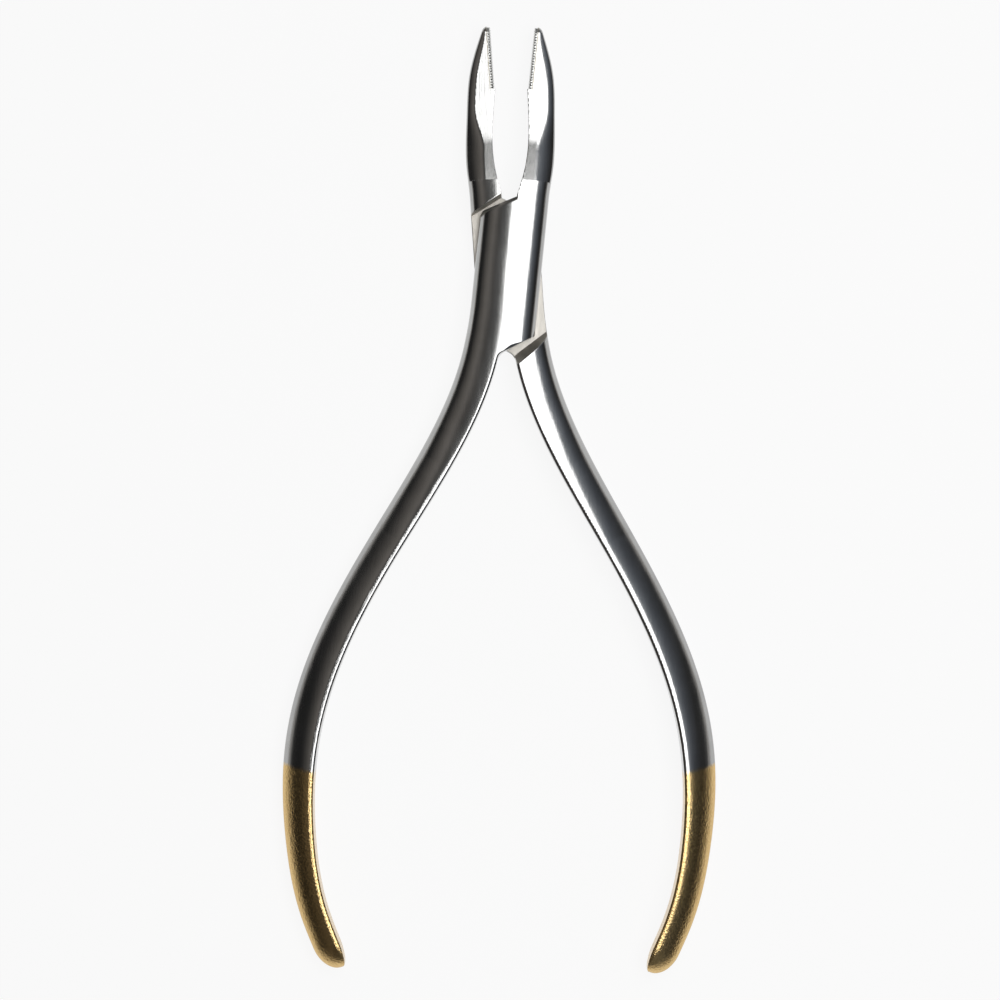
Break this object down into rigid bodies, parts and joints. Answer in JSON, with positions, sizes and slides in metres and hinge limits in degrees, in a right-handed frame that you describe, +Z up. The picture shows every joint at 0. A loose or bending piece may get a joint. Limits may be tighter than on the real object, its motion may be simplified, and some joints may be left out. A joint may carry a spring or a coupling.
{
  "type": "orthodontic pliers",
  "caption": "Slender polished steel pliers with a lap joint, tapering jaws with serrated carbide inserts and bowed handles with gold-coloured ends, for bending and gripping orthodontic wire.",
  "frame": {"origin": "on the pivot axis, in the plane of the ground back of the joint on which the pliers lie", "axes": "+Z up along the pivot axis from the rear arm to the front arm, +Y towards the jaw tips, +X to the right seen from above"},
  "size_m": [0.0642, 0.14, 0.007],
  "materials": {
    "polished_steel": "polished stainless steel, the last third of each handle gold-plated",
    "screw_steel": "ground stainless steel",
    "carbide": "sintered tungsten carbide, serrated",
    "braze": "silver braze seam"
  },
  "bodies": {
    "rear_half": {"rear_arm": "polished_steel", "rear_insert": "carbide", "rear_braze": "braze"},
    "front_half": {"front_arm": "polished_steel", "front_insert": "carbide", "front_braze": "braze", "pivot_screw": "screw_steel"}
  },
  "joints": [
    {"name": "pivot", "type": "hinge", "parent": "rear_half", "child": "front_half", "pos_m": [0, 0, 0], "axis": [0, 0, 1], "range_deg": [-30, 9.65]}
  ]
}
